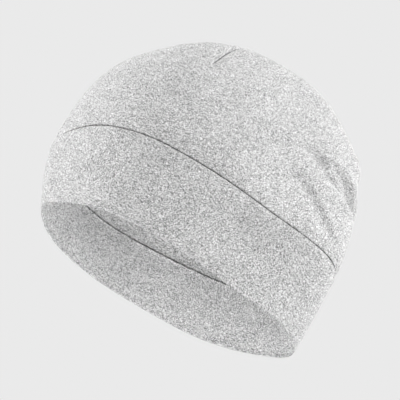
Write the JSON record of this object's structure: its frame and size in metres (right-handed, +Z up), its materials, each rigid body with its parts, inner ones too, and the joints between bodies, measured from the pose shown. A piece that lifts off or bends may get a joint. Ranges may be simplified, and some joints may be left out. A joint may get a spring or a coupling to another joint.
{
  "type": "helmet liner cap",
  "caption": "Thin stretch-knit skull cap with a deep domed crown, a wide doubled band and a seam over the top, worn on its own or under a helmet.",
  "frame": {"origin": "centre of the head opening, in the plane of the band's lower fold, where a head holds the cap up", "axes": "+Z up through the crown, -Y towards the wearer's forehead, +X towards the wearer's left"},
  "size_m": [0.1795, 0.2233, 0.1885],
  "materials": {
    "crown_jersey": "light grey heathered stretch jersey, matt",
    "band_jersey": "the same jersey, doubled, matt"
  },
  "bodies": {
    "root": {"crown": "crown_jersey", "band": "band_jersey"}
  },
  "joints": []
}
